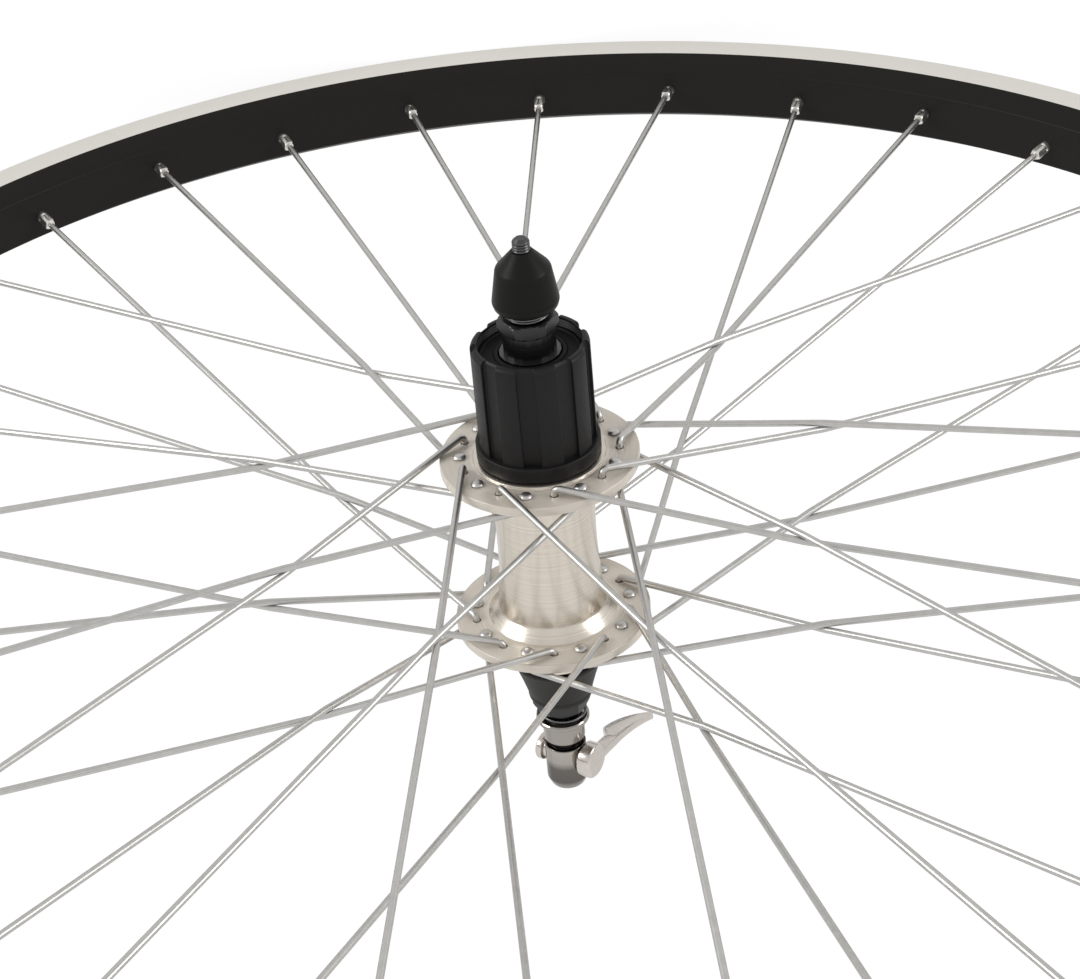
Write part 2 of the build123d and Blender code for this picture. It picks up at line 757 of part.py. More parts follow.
# Lever, seen open: a forged blade that sweeps outwards to a narrow tip, a boss beside the head and the cam shaft.
# The blade turns in over the head only where it clears the head's end in the swing.
boss_start = head_radius + lever_gap
boss_end = boss_start + lever_boss_width
blade_start = boss_end - lever_blade_width
half_thickness = lever_thickness / 2
half_tip = lever_tip_thickness / 2
half_mid = (half_thickness + half_tip) / 2
lever_mid = lever_reach / 2
mid_drop = lever_sweep / 4
neck_reach = sqrt((cam_side - head_end) ** 2 + (head_end_diameter / 2) ** 2) + lever_gap
blade_reach = neck_reach + lever_neck_slope
tip_start = lever_reach - lever_tip_radius
tip_middle = boss_end - lever_tip_inset
edge_middle = (blade_start + tip_middle - lever_tip_radius) / 2 - lever_belly
plan_plane = Plane(origin=cam_centre, x_dir=arm_direction, z_dir=(0, 1, 0))
with BuildPart() as lever:
    with BuildSketch(cam_plane.offset(blade_start)):
        with BuildLine():
            ThreePointArc(
                (0, half_thickness),
                (lever_mid, half_mid - mid_drop),
                (lever_reach, half_tip - lever_sweep),
            )
            Line((lever_reach, half_tip - lever_sweep), (lever_reach, -half_tip - lever_sweep))
            ThreePointArc(
                (lever_reach, -half_tip - lever_sweep),
                (lever_mid, -half_mid - mid_drop),
                (0, -half_thickness),
            )
            Line((0, -half_thickness), (0, half_thickness))
        make_face()
    extrude(amount=lever_blade_width)
    with BuildSketch(plan_plane.offset(-lever_reach)):
        with BuildLine():
            Polyline(
                (tip_start, tip_middle + lever_tip_radius),
                (neck_reach, boss_end),
                (0, boss_end),
                (0, boss_start),
                (neck_reach, boss_start),
                (blade_reach, blade_start),
            )
            ThreePointArc(
                (blade_reach, blade_start),
                ((blade_reach + tip_start) / 2, edge_middle),
                (tip_start, tip_middle - lever_tip_radius),
            )
            ThreePointArc(
                (tip_start, tip_middle - lever_tip_radius),
                (lever_reach, tip_middle),
                (tip_start, tip_middle + lever_tip_radius),
            )
        make_face()
    extrude(amount=2 * lever_reach, mode=Mode.INTERSECT)
    with BuildSketch(cam_plane.offset(boss_start)):
        RegularPolygon(lever_boss_diameter / 2, inner_flat_count)
    extrude(amount=lever_boss_width)
    with BuildSketch(cam_plane.offset(-boss_start)):
        Circle(cam_diameter / 2)
    extrude(amount=2 * boss_start)
write(lever, "quick_release_lever")

# Cap on the far end of the cam shaft, which keeps the lever in the head.
with BuildPart() as cam_cap:
    with BuildSketch(cam_plane.offset(-boss_start)):
        RegularPolygon(cam_cap_diameter / 2, bore_flat_count)
    extrude(amount=-cam_cap_width)
write(cam_cap, "cam_cap")

# Conical springs on the skewer, small end against the locknut, that push the nut and the head apart.
spring_flat_radius = axle_diameter / 2 + spring_axle_gap + spring_wire / 2
spring_start_radius = spring_flat_radius / cos(radians(180 / spring_step_count))
with BuildPart() as springs:
    for outward, seat_side in ((1, nut_face), (-1, -head_face)):
        start_side = half_over + spring_gap + spring_wire / 2
        end_side = seat_side - spring_gap - spring_wire / 2
        steps = spring_turn_count * spring_step_count
        coils = []
        for step in range(steps + 1):
            share = step / steps
            radius = spring_start_radius + share * spring_turn_count * (spring_wire + spring_coil_gap)
            side = outward * (start_side + share * (end_side - start_side))
            coils.append(place(radius, 360 * step / spring_step_count, side))
        with BuildLine() as coil:
            Polyline(*coils)
        with BuildSketch(Plane(origin=coils[0], x_dir=(0, 1, 0), z_dir=coils[1] - coils[0])):
            Rectangle(spring_wire, spring_wire)
        sweep(path=coil.line, transition=Transition.RIGHT)
write(springs, "springs")
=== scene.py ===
import bmesh
import bpy
import numpy as np
from mathutils import Matrix


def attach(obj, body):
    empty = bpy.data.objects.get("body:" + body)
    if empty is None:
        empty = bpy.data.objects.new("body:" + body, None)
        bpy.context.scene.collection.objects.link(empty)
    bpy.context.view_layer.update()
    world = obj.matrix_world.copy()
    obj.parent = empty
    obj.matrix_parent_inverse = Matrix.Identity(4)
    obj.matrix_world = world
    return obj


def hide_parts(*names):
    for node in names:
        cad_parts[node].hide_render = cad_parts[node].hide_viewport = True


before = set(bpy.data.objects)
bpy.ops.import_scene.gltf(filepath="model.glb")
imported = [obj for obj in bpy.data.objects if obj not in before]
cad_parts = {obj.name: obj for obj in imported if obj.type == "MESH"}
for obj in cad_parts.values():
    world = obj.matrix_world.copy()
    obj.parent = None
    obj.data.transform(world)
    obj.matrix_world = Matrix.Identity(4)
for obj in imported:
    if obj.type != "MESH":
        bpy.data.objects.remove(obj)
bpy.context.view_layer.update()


# Rim: a rolled and welded double-wall aluminium extrusion, black all over but for the brake tracks, which are
# machined bare. The spoke bed and the tyre floor are drilled, with a valve hole at the top of the wheel.
def add_mesh(name, verts, faces, material, body, slot, replaced, sharp=40):
    """A mesh from points in millimetres, with doubled points joined and edges sharper than an angle kept."""
    mm, doubled, slight = 0.001, 2e-6, 1e-7
    mesh = bpy.data.meshes.new(name)
    mesh.from_pydata((np.asarray(verts, float) * mm).tolist(), [], [tuple(face) for face in faces])
    work = bmesh.new()
    work.from_mesh(mesh)
    bmesh.ops.remove_doubles(work, verts=work.verts, dist=doubled)
    bmesh.ops.dissolve_degenerate(work, edges=work.edges, dist=slight)
    bmesh.ops.recalc_face_normals(work, faces=work.faces)
    work.to_mesh(mesh)
    work.free()
    mesh.polygons.foreach_set("use_smooth", np.ones(len(mesh.polygons), bool))
    mesh.set_sharp_from_angle(angle=np.radians(sharp))
    mesh.materials.append(material)
    piece = bpy.data.objects.new(name, mesh)
    bpy.context.scene.collection.objects.link(piece)
    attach(piece, body)
    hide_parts(*replaced)


class Parts:
    """Points and faces of several surfaces gathered into one mesh."""

    def __init__(self):
        self.verts, self.faces, self.count = [], [], 0

    def add(self, verts, faces):
        self.verts.append(np.asarray(verts, float))
        self.faces += [[corner + self.count for corner in face] for face in faces]
        self.count += len(verts)

    def points(self):
        return np.concatenate(self.verts)


def unit(way):
    """A direction of length one: the way divided by its length."""
    return way / np.linalg.norm(way)


def wheel_points(radius, angle, side):
    """Points at a radius, at an angle in degrees seen from the drive side, and at a side of the middle:
    X = r cos, Y = -side, Z = r sin."""
    radius, angle, side = np.broadcast_arrays(radius, np.radians(angle), side)
    return np.stack([radius * np.cos(angle), -side, radius * np.sin(angle)], -1)


def lofted(rows):
    """Rings of equally many points, each joined to the next by a strip of four-sided faces."""
    rows = np.asarray(rows, float)
    count, steps = rows.shape[:2]
    first = np.arange(count - 1)[:, None] * steps
    here, beside = first + np.arange(steps), first + (np.arange(steps) + 1) % steps
    faces = np.stack([here, beside, beside + steps, here + steps], -1).reshape(-1, 4)
    return rows.reshape(count * steps, -1), faces.tolist()


def turned(chain, steps=180):
    """A chain of (radius, side) points turned about the axle: every point becomes a ring of equal steps."""
    chain = np.asarray(chain, float)
    angles = np.linspace(0, 360, steps, endpoint=False)
    return lofted(wheel_points(chain[:, :1], angles, chain[:, 1:]))


def corner_arc(corner, one_way, other_way, radius, steps):
    """An arc tangent to both edges of a corner: its middle is on the bisector, at radius / sin(half opening),
    and its points turn evenly from one edge to the other."""
    half = np.arccos(np.clip(one_way @ other_way, -1, 1)) / 2
    middle = corner + unit(one_way + other_way) * radius / np.sin(half)
    trim = radius / np.tan(half)
    start, end = corner + one_way * trim - middle, corner + other_way * trim - middle
    sweep = np.pi - 2 * half
    share = np.linspace(0, 1, steps)[:, None]
    return middle + (np.sin((1 - share) * sweep) * start + np.sin(share * sweep) * end) / np.sin(sweep)


def rounded(corners, steps=5):
    """A chain of points in which each (radius, side, fillet) corner becomes an arc tangent to its edges.
    It takes at most half of each edge."""
    nearly_straight, most_trim = 3.1, 0.49
    points = np.array([corner[:2] for corner in corners], float)
    fillets = [corner[2] if len(corner) > 2 else 0 for corner in corners]
    chain = [points[:1]]
    for before, point, after, fillet in zip(points, points[1:], points[2:], fillets[1:]):
        one_way, other_way = unit(before - point), unit(after - point)
        opening = np.arccos(np.clip(one_way @ other_way, -1, 1))
        if fillet > 0 and opening <= nearly_straight:
            edge = min(np.linalg.norm(before - point), np.linalg.norm(after - point))
            radius = min(fillet, most_trim * edge * np.tan(opening / 2))
            chain.append(corner_arc(point, one_way, other_way, radius, steps))
        else:
            chain.append(point[None])
    return np.concatenate([*chain, points[-1:]])


def drilled_patch(width, height, hole, across, along, rings, aim):
    """A flat patch with a round hole: rays run from the hole's circle out to a rectangle, crossed by rings
    that lie closer near the hole. The rays start towards a rectangle of the height to aim at, so that two
    patches can share one hole's circle."""
    side_steps, closing = 8, 1.4
    edge, ones = np.linspace(-1, 1, side_steps, endpoint=False), np.ones(side_steps)
    sides = [(edge, -ones), (ones, edge), (-edge, ones), (-ones, -edge)]
    square = np.concatenate([np.stack(side, 1) for side in sides])
    outline = square * [width / 2, height / 2]
    aimed = square * [width / 2, aim / 2]
    turn = np.arctan2(aimed[:, 1] - along, aimed[:, 0] - across)
    circle = np.array([across, along]) + hole * np.stack([np.cos(turn), np.sin(turn)], 1)
    share = (np.linspace(0, 1, rings) ** closing)[:, None, None]
    flat, faces = lofted(circle * (1 - share) + outline * share)
    return flat, faces, circle


spoke_count, first_spoke_angle, foot_side = 36, 95, 1.0
bed_radius = 268.3
drive_flange, left_flange, flange_half = 20.6, -33.7, 1.4
flange_radius, spoke_circle = 28.5, 22.75
hub_turn, crossing_turn, weave = 60, 10, 1.06
bend_rise, edge_rise = 2.75, 2.52


def lace(number):
    """One spoke's seat in the flange, its bend, its last crossing, its foot on the rim and its way there.
    The crossing is where the spoke's plan line is ten degrees round from its foot, and the bend is raised
    until the spoke clears the flange's edge."""
    outside = -1 if number % 2 == 1 else 1
    turn = 1 if number % 4 < 2 else -1
    face = -turn * outside
    flange = drive_flange if outside == 1 else left_flange
    rim_angle = first_spoke_angle + number * 360 / spoke_count
    foot = wheel_points(bed_radius, rim_angle, outside * foot_side)
    hole = wheel_points(spoke_circle, rim_angle + turn * hub_turn, flange)
    slope, run = np.tan(np.radians(crossing_turn)), np.radians(hub_turn)
    past_hole = spoke_circle * np.sin(run) + slope * (bed_radius - spoke_circle * np.cos(run))
    share = bed_radius * slope / past_hole
    crossing_side = outside * foot_side * (1 - share) + flange * share - face * weave
    crossing = foot + (hole - foot) * share
    crossing[1] = -crossing_side
    plan = (crossing - hole)[[0, 2]]
    length = np.linalg.norm(plan)
    radial = hole[[0, 2]] @ plan / length
    edge_share = (np.sqrt(radial**2 + flange_radius**2 - spoke_circle**2) - radial) / length
    bend_side = flange + face * bend_rise
    edge_side = bend_side + (crossing_side - bend_side) * edge_share
    lack = edge_rise - face * (edge_side - flange)
    if lack > 0:
        bend_side += face * lack / (1 - edge_share)
    bend = np.array([hole[0], -bend_side, hole[2]])
    seat = np.array([hole[0], face * flange_half - flange, hole[2]])
    return seat, bend, crossing, foot, unit(foot - crossing)


def plug(tree, socket, value):
    """A socket is linked where the value is another socket, and otherwise takes the plain value."""
    if isinstance(value, bpy.types.NodeSocket):
        tree.links.new(value, socket)
    else:
        socket.default_value = value


def math_node(tree, operation, *values):
    """The result of a Math node."""
    node = tree.nodes.new("ShaderNodeMath")
    node.operation = operation
    for socket, value in zip(node.inputs, values):
        plug(tree, socket, value)
    return node.outputs[0]


def mix_node(tree, kind, factor, one, other):
    """The result of a Mix node: one where the factor is 0, the other where it is 1."""
    node = tree.nodes.new("ShaderNodeMix")
    node.data_type = kind
    for label, value in (("Factor", factor), ("A", one), ("B", other)):
        plug(tree, node.inputs[label], value)
    return node.outputs["Result"]


def map_range(tree, value, before, after, way="LINEAR"):
    """A value carried from the range before to the range after."""
    node = tree.nodes.new("ShaderNodeMapRange")
    node.interpolation_type = way
    for label, number in zip(("From Min", "From Max", "To Min", "To Max"), (*before, *after)):
        node.inputs[label].default_value = number
    plug(tree, node.inputs["Value"], value)
    return node.outputs["Result"]


def place_on(tree):
    """The X, Y and Z of a point on the piece, in metres."""
    place = tree.nodes.new("ShaderNodeTexCoord")
    split = tree.nodes.new("ShaderNodeSeparateXYZ")
    plug(tree, split.inputs[0], place.outputs["Object"])
    return split.outputs


def axle_distance(tree):
    """A point's distance from the axle: the length of (X, 0, Z)."""
    place = place_on(tree)
    flat = tree.nodes.new("ShaderNodeCombineXYZ")
    for label in ("X", "Z"):
        plug(tree, flat.inputs[label], place[label])
    reach = tree.nodes.new("ShaderNodeVectorMath")
    reach.operation = "LENGTH"
    plug(tree, reach.inputs[0], flat.outputs[0])
    return reach.outputs["Value"]


def noise_group(name, lathe):
    """A shader group of fine noise, as a mask and as a bumped normal. From a lathe, the noise runs over the
    distance from the axle plus Y, so that it makes rings, and otherwise it runs in all directions."""
    detail, bump_height = 3, 0.0002
    group = bpy.data.node_groups.new(name, "ShaderNodeTree")
    for label in ("Scale", "Strength"):
        group.interface.new_socket(label, in_out="INPUT", socket_type="NodeSocketFloat")
    group.interface.new_socket("Mask", in_out="OUTPUT", socket_type="NodeSocketFloat")
    group.interface.new_socket("Normal", in_out="OUTPUT", socket_type="NodeSocketVector")
    inner, outer = group.nodes.new("NodeGroupInput"), group.nodes.new("NodeGroupOutput")
    noise = group.nodes.new("ShaderNodeTexNoise")
    noise.inputs["Detail"].default_value = detail
    plug(group, noise.inputs["Scale"], inner.outputs["Scale"])
    if lathe:
        noise.noise_dimensions = "1D"
        rings = math_node(group, "ADD", axle_distance(group), place_on(group)["Y"])
        plug(group, noise.inputs["W"], rings)
    else:
        place = group.nodes.new("ShaderNodeTexCoord")
        plug(group, noise.inputs["Vector"], place.outputs["Object"])
    bump = group.nodes.new("ShaderNodeBump")
    bump.inputs["Distance"].default_value = bump_height
    plug(group, bump.inputs["Strength"], inner.outputs["Strength"])
    plug(group, bump.inputs["Height"], noise.outputs["Fac"])
    plug(group, outer.inputs["Mask"], noise.outputs["Fac"])
    plug(group, outer.inputs["Normal"], bump.outputs["Normal"])
    return group


turned_lines = noise_group("turned_lines", lathe=True)
fine_grain = noise_group("fine_grain", lathe=False)


def noise_in(tree, group, scale, strength):
    """A noise group placed in a material, with its own scale and strength of bump."""
    node = tree.nodes.new("ShaderNodeGroup")
    node.node_tree = group
    node.inputs["Scale"].default_value = scale
    node.inputs["Strength"].default_value = strength
    return node.outputs


def finish(name, colour, metallic, roughness, group, scale, strength, spread=0.1, specular=0.5):
    """A material whose colour, roughness and normal vary by a noise group.
    Where no colour is given, the piece adds its own."""
    shade, least_roughness = 0.12, 0.02
    material = bpy.data.materials.new(name)
    material.use_nodes = True
    tree = material.node_tree
    sockets = tree.nodes["Principled BSDF"].inputs
    sockets["Metallic"].default_value = metallic
    sockets["Specular IOR Level"].default_value = specular
    noise = noise_in(tree, group, scale, strength)
    roughnesses = (max(roughness - spread, least_roughness), roughness + spread)
    plug(tree, sockets["Roughness"], map_range(tree, noise["Mask"], (0, 1), roughnesses))
    plug(tree, sockets["Normal"], noise["Normal"])
    if colour:
        dark = (*[part * (1 - shade) for part in colour], 1)
        pale = (*[min(part * (1 + shade), 1) for part in colour], 1)
        plug(tree, sockets["Base Color"], mix_node(tree, "RGBA", noise["Mask"], dark, pale))
    return material


rim_black = finish("rim_black", (0.0105, 0.0095, 0.008), 0.0, 0.42, fine_grain, 900, 0.05, 0.06, 0.155)
track_from, track_colour, track_roughness = 0.01222, (0.84, 0.81, 0.755, 1), 0.36
tree = rim_black.node_tree
sockets = tree.nodes["Principled BSDF"].inputs
on_track = math_node(tree, "GREATER_THAN", math_node(tree, "ABSOLUTE", place_on(tree)["Y"]), track_from)
machined = noise_in(tree, turned_lines, scale=2600, strength=0.25)
for label, kind, bare in (
    ("Base Color", "RGBA", track_colour),
    ("Roughness", "FLOAT", track_roughness),
    ("Normal", "VECTOR", machined["Normal"]),
):
    black = sockets[label].links[0].from_socket
    plug(tree, sockets[label], mix_node(tree, kind, on_track, black, bare))
plug(tree, sockets["Metallic"], on_track)

track_foot, tyre_floor, rim_edge = 275.6, 279.5, 285.5
half_width, bead_side, hook_side = 12.3, 10.4, 10.2
rim_wall, rim_steps = 1.6, 576
bed_half, bed_half_inside, floor_half, floor_half_inside = 7.0, 6.4, 9.0, 8.6
nipple_hole, key_hole, valve_hole = 2.15, 3.8, 4.25
sectors, valve_angle, outside_rings, inside_rings = 72, 90, 6, 3
half_section = rounded([
    (bed_radius, bed_half), (bed_radius, 8.0, 0.7), (track_foot, half_width, 0.3),
    (rim_edge, half_width, 0.5), (rim_edge, bead_side, 0.7), (283.4, hook_side, 0.6),
    (282.4, bead_side, 0.6), (tyre_floor, bead_side, 0.8), (tyre_floor, floor_half),
])
half_hollow = np.array([
    (bed_radius + rim_wall, bed_half_inside), (bed_radius + rim_wall, 7.2),
    (tyre_floor - rim_wall, bead_side), (tyre_floor - rim_wall, floor_half_inside),
])
rim = Parts()
for mirror in (1, -1):
    rim.add(*turned(half_section * [1, mirror], rim_steps))
    rim.add(*turned(half_hollow * [1, mirror], rim_steps))
for sector in range(sectors):
    angle = valve_angle + sector * 360 / sectors
    for radius, half, inward, half_inside, spoke_hole in (
        (bed_radius, bed_half, rim_wall, bed_half_inside, nipple_hole),
        (tyre_floor, floor_half, -rim_wall, floor_half_inside, key_hole),
    ):
        across, along, hole = 0, 0, valve_hole if sector == 0 else 0
        if sector % 2 == 1:
            *_, foot, way = lace((sector - 1) // 2)
            drilled = foot + way * (radius - bed_radius) / (way @ foot) * bed_radius
            lean = np.arctan2(drilled[2], drilled[0]) - np.radians(angle)
            across = radius * ((lean + np.pi) % (2 * np.pi) - np.pi)
            along, hole = -drilled[1], spoke_hole
        arc, circles = radius * np.radians(360 / sectors), []
        for depth, height, rings in (
            (radius, half, outside_rings), (radius + inward, half_inside, inside_rings),
        ):
            flat, faces, circle = drilled_patch(arc, 2 * height, hole, across, along, rings, 2 * half)
            rim.add(wheel_points(depth, angle + np.degrees(flat[:, 0] / radius), flat[:, 1]), faces)
            circles.append(wheel_points(depth, angle + np.degrees(circle[:, 0] / radius), circle[:, 1]))
        if hole:
            rim.add(*lofted(circles))
add_mesh("rim_visual", rim.points(), rim.faces, rim_black, "wheel", "rim_black", ["rim"])


# Spokes: plain drawn stainless wire, each with a pressed head, a J-bend through the flange and a weave at
# its last crossing. Heads are outside the flange on half of them and inside on the others.
def tube(path, radii, sides=12):
    """A round tube along a path: rings square to the path, carried on without twist, with closed ends."""
    slanted = [0.3, 0.5, 0.81]
    ahead = np.gradient(path, axis=0)
    ahead /= np.linalg.norm(ahead, axis=1)[:, None]
    first = unit(np.cross(ahead[0], slanted))
    turns = np.linspace(0, 2 * np.pi, sides, endpoint=False)[:, None]
    rings = []
    for point, way, radius in zip(path, ahead, np.broadcast_to(radii, len(path))):
        first = unit(first - way * (first @ way))
        rings.append(point + radius * (np.cos(turns) * first + np.sin(turns) * np.cross(way, first)))
    verts, faces = lofted(rings)
    return verts, [*faces, list(range(sides)), list(range(len(verts) - sides, len(verts)))]


spoke_steel = finish("spoke_steel", (0.56, 0.55, 0.53), 1.0, 0.36, fine_grain, 400, 0.005, 0.03)
wire_radius, bend_radius, bend_steps, thread_in_nipple = 1.0, 1.7, 8, 2.4
head_heights = np.array([1.2, 1.15, 0.9, 0.5, 0.15, 0.0])[:, None]
head_radii = [0.3, 1.1, 1.6, 1.9, 1.75, wire_radius]
to_crossing, to_rim = np.array([0.33, 0.67])[:, None], np.linspace(0, 1, 5)[:, None]
spokes = Parts()
for number in range(spoke_count):
    seat, bend, crossing, foot, way = lace(number)
    out = unit(seat - bend)
    arc = corner_arc(bend, out, unit(crossing - bend), bend_radius, bend_steps)
    path = np.concatenate([
        seat + out * head_heights,
        arc,
        arc[-1] + (crossing - arc[-1]) * to_crossing,
        crossing + (foot - crossing) * to_rim,
        [foot + way * thread_in_nipple],
    ])
    plain = [wire_radius] * (len(path) - len(head_radii))
    spokes.add(*tube(path, head_radii + plain))
spoke_groups = ("drive_inner", "left_inner", "drive_outer", "left_outer")
spoke_names = [f"{group}_spoke_{k}" for group in spoke_groups for k in range(1, 10)]
add_mesh("spokes_visual", spokes.points(), spokes.faces, spoke_steel, "wheel", "spoke_steel", spoke_names)


# Nipples: plated brass, turned round where they pass the rim and pressed square for the key towards the hub.
# Each is screwed on the end of its spoke, with its head inside the rim.
nipple_plate = finish("nipple_plate", (0.78, 0.76, 0.71), 1.0, 0.3, fine_grain, 1200, 0.02, 0.06)
flat_share, corner_share, widest = 0.9, 1.12, 2.6
nipple_rows = (
    (-6.2, 0, 0), (-6.2, 1.45, 0), (-5.9, 1.7, 0.5), (-5.5, 1.8, 1), (-1.6, 1.8, 1), (-1.2, 2.0, 0.3),
    (-0.9, 2.05, 0), (2.1, 2.05, 0), (2.2, widest, 0), (3.0, widest, 0), (4.0, 2.0, 0), (4.0, 0, 0),
)
height, radius, square = np.array(nipple_rows)[:, :, None].transpose(1, 0, 2)
turns = np.linspace(0, 2 * np.pi, 24, endpoint=False)
c, s = np.cos(turns), np.sin(turns)
flats = np.minimum(flat_share / np.maximum(np.abs(c), np.abs(s)), corner_share)
reach = np.minimum(radius * (1 - square + square * flats), widest)[:, :, None]
nipples = Parts()
for number in range(spoke_count):
    *_, foot, way = lace(number)
    beside = unit(np.cross(way, np.cross([0, 1, 0], way)))
    ring = c[:, None] * beside + s[:, None] * np.cross(way, beside)
    nipples.add(*lofted(foot + way * height[:, :, None] + reach * ring))
add_mesh(
    "nipples_visual", nipples.points(), nipples.faces, nipple_plate,
    "wheel", "nipple_plate", ["nipples"], 30,
)


# Hub shell: turned from one aluminium bar and polished, with drilled flanges and a waisted barrel.
# Its collar on the left holds the bearing cup, and the freehub is bolted to its drive side.
hub_polish = finish("hub_polish", (0.72, 0.66, 0.58), 1.0, 0.24, turned_lines, 1500, 0.02, 0.06)
polished_within, satin_beyond, polished_metal, satin_metal = 0.018, 0.0205, 0.95, 0.15
tree = hub_polish.node_tree
satin = map_range(tree, axle_distance(tree), (polished_within, satin_beyond), (polished_metal, satin_metal))
plug(tree, tree.nodes["Principled BSDF"].inputs["Metallic"], satin)

hub_steps, flange_foot, drive_face = 144, 19.0, 22.6
waist, flare, barrel_half = 14.4, 1.3, 22.15
barrel_middle = (drive_flange + left_flange) / 2
collar_radius, collar_end, cup_bore, cup_seat = 14.8, -43.0, 13.6, -36.7
barrel_bore, bolt_bore, bolt_seat = 11.0, 8.1, 12.0
band_inner, band_outer = 19.8, 28.0
band_middle, band_height = (band_inner + band_outer) / 2, band_outer - band_inner
spoke_hole, holes, patch_rings = 1.25, 18, 5
barrel = [(waist + flare * t * t, barrel_middle + barrel_half * t) for t in np.linspace(0.96, -0.96, 15)]
hub_chains = (
    rounded([
        (band_inner, drive_flange - flange_half), (flange_foot, drive_flange - flange_half, 0.8),
        (waist + flare, barrel_middle + barrel_half, 2.0), *barrel,
        (waist + flare, barrel_middle - barrel_half, 2.0),
        (flange_foot, left_flange + flange_half, 0.8), (band_inner, left_flange + flange_half),
    ]),
    rounded([
        (bolt_bore, drive_face), (flange_foot, drive_face, 0.4),
        (flange_foot, drive_flange + flange_half, 0.2), (band_inner, drive_flange + flange_half),
    ]),
    rounded([
        (band_inner, left_flange - flange_half), (flange_foot, left_flange - flange_half, 0.8),
        (collar_radius, -38.7, 1.0), (collar_radius, collar_end, 0.5), (cup_bore, collar_end),
    ]),
    [
        (cup_bore, collar_end), (cup_bore, cup_seat), (barrel_bore, cup_seat),
        (barrel_bore, bolt_seat), (bolt_bore, bolt_seat), (bolt_bore, drive_face),
    ],
)
hub = Parts()
for chain in hub_chains:
    hub.add(*turned(chain, hub_steps))
arc = spoke_circle * np.radians(360 / holes)
flat, faces, circle = drilled_patch(
    arc, band_height, spoke_hole, 0, spoke_circle - band_middle, patch_rings, band_height)
for middle, first_hole in ((drive_flange, 15), (left_flange, 5)):
    front, back = middle + flange_half, middle - flange_half
    flange_edge = rounded([
        (band_outer, front), (flange_radius, front, 0.45), (flange_radius, back, 0.45), (band_outer, back),
    ])
    hub.add(*turned(flange_edge, hub_steps))
    for k in range(holes):
        angle = first_hole + k * 360 / holes
        patch_angles = angle + np.degrees(flat[:, 0] / spoke_circle)
        hole_angles = angle + np.degrees(circle[:, 0] / spoke_circle)
        circles = []
        for side in (front, back):
            hub.add(wheel_points(band_middle + flat[:, 1], patch_angles, side), faces)
            circles.append(wheel_points(band_middle + circle[:, 1], hole_angles, side))
        hub.add(*lofted(circles))
add_mesh("hub_shell_visual", hub.points(), hub.faces, hub_polish, "wheel", "hub_polish", ["hub_shell"])


# Bearing pieces of the hub: plain turned and ground steel, mostly out of sight inside the hub.
# The left dust cap is a thin pressed ring in the mouth of the cup.
def dress(names, material):
    """Nodes that keep their own shape get a material in place of the plain one."""
    for name in names:
        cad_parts[name].data.materials.clear()
        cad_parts[name].data.materials.append(material)


# The bearing steel is coloured darker than bare steel, as painted shade of the hub's inside seen through its
# gaps.
bearing_steel = finish("bearing_steel", (0.2, 0.2, 0.2), 1.0, 0.3, turned_lines, 1500, 0.05)
dress(("left_bearing_cup", "freehub_core", "freehub_bolt"), bearing_steel)
dress(("left_bearing_balls", "right_bearing_balls", "left_cone"), bearing_steel)
cap_outside, cap_inside, cap_bore, cap_mouth, cap_end, cap_floor = 12.88, 11.9, 9.3, -42.5, -48.0, -47.0
left_cap = rounded([
    (cap_inside, cap_mouth), (cap_outside, cap_mouth, 0.1), (cap_outside, cap_end, 0.6),
    (cap_bore, cap_end, 0.3), (cap_bore, cap_floor, 0.2), (cap_inside, cap_floor, 0.3),
    (cap_inside, cap_mouth),
])
add_mesh("left_cap_visual", *turned(left_cap, 96), hub_polish, "wheel", "hub_polish", ["left_dust_cap"])


# Axle with its right cone, spacers and locknuts: dark plated steel, the axle hollow and threaded at its ends.
# The locknuts are hexagons with their corners turned off, screwed tight on the axle.
axle_plate = finish("axle_plate", (0.1, 0.1, 0.1), 1.0, 0.34, turned_lines, 1800, 0.05)
dress(("right_cone", "spacers"), axle_plate)
axle_radius, axle_bore, axle_half = 5.0, 2.8, 70.0
thread_depth, half_pitch, thread_from = 0.3, 0.5, 64.0
thread = [(axle_radius - thread_depth * (k % 2), thread_from + half_pitch * k) for k in range(12)]
axle_line = np.array([
    (axle_radius, 0.0), *thread, (axle_radius - thread_depth, axle_half),
    (axle_bore, axle_half), (axle_bore, 0.0),
])
axle = Parts()
for mirror in (1, -1):
    axle.add(*turned(axle_line * [1, mirror], 64))
add_mesh("axle_visual", axle.points(), axle.faces, axle_plate, "axle", "bearing_steel", ["axle"], 30)

locknut_steel = finish("locknut_steel", (0.06, 0.06, 0.06), 1.0, 0.36, fine_grain, 900, 0.05)
half_flats, locknut_bore, locknut_from, locknut_thick = 7.5, 5.05, 63.2, 4.3
corner_radius, corner_slope = 7.3, 1.73
locknut_to = locknut_from + locknut_thick
angles = np.linspace(0, 360, 96, endpoint=False)
hexagon = half_flats / np.cos(np.radians(angles % 60 - 30))
locknut_chain = [(locknut_bore, locknut_from), (6.6, locknut_from)]
for depth in (0.0, 0.2, 0.45, 0.7, 1.0, 3.3, 3.6, 3.85, 4.1, locknut_thick):
    corner = corner_radius + corner_slope * min(depth, locknut_thick - depth)
    locknut_chain.append((np.minimum(hexagon, corner), locknut_from + depth))
locknut_chain += [(6.0, locknut_to), (locknut_bore, locknut_to - 0.3), (locknut_bore, locknut_from)]
locknuts = Parts()
for mirror in (1, -1):
    locknuts.add(*lofted([wheel_points(radius, angles, mirror * side) for radius, side in locknut_chain]))
add_mesh(
    "locknuts_visual", locknuts.points(), locknuts.faces, locknut_steel,
    "axle", "locknut_steel", ["locknuts"], 28,
)


